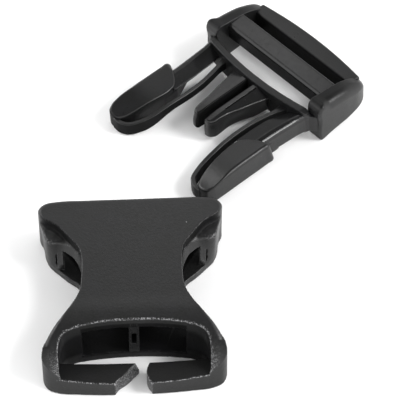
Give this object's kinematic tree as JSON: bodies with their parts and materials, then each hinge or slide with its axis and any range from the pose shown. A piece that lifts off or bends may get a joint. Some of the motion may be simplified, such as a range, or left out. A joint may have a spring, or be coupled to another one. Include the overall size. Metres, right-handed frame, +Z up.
{
  "type": "side release buckle",
  "caption": "Side-release buckle for 25 mm webbing, shown apart: socket half with split strap bar and prong half with ladder-lock strap adjuster.",
  "frame": {"origin": "middle of the socket half's flat underside", "axes": "+Z up from the table, +Y from the socket half's strap end towards its mouth, +X to the right seen from above"},
  "size_m": [0.0626, 0.0911, 0.0091],
  "materials": {
    "satin": "satin moulded acetal with a very fine grain",
    "grained": "grained moulded acetal with brighter worn rims",
    "polished": "smooth moulded acetal, glossy on ridges"
  },
  "bodies": {
    "socket_half": {"socket_shell": "satin", "centre_post": "satin"},
    "split_finger_left": {"split_bar_left": "grained"},
    "split_finger_right": {"split_bar_right": "grained"},
    "prong_half": {"cheek_left": "satin", "cheek_right": "satin", "outer_bar": "satin", "locking_bar": "polished", "crossbar": "satin", "guide_tine_left": "satin", "guide_tine_right": "satin"},
    "prong_left": {"stem_left": "polished", "head_left": "satin", "strip_left": "satin"},
    "prong_right": {"stem_right": "polished", "head_right": "satin", "strip_right": "satin"}
  },
  "joints": [
    {"name": "prong_half_slide", "type": "slide", "parent": "socket_half", "child": "prong_half", "axis": [0.7793, 0.6266, 0], "range_m": [0, 0.027]},
    {"name": "prong_left_flex", "type": "hinge", "parent": "prong_half", "child": "prong_left", "pos_m": [0.01753, 0.05936, 0.00434], "axis": [-0.0498, -0.0401, 0.998], "range_deg": [0, 9], "stiffness_Nm_per_rad": 0.9, "deforming": ["strip_left"]},
    {"name": "prong_right_flex", "type": "hinge", "parent": "prong_half", "child": "prong_right", "pos_m": [0.03182, 0.04159, 0.00434], "axis": [0.0498, 0.0401, -0.998], "range_deg": [0, 9], "stiffness_Nm_per_rad": 0.9, "deforming": ["strip_right"]},
    {"name": "split_bar_left_flex", "type": "hinge", "parent": "socket_half", "child": "split_finger_left", "pos_m": [-0.0128, -0.01694, 0.003], "axis": [0, -1, 0], "range_deg": [0, 10], "stiffness_Nm_per_rad": 4},
    {"name": "split_bar_right_flex", "type": "hinge", "parent": "socket_half", "child": "split_finger_right", "pos_m": [0.0128, -0.01694, 0.003], "axis": [0, 1, 0], "range_deg": [0, 10], "stiffness_Nm_per_rad": 4}
  ]
}
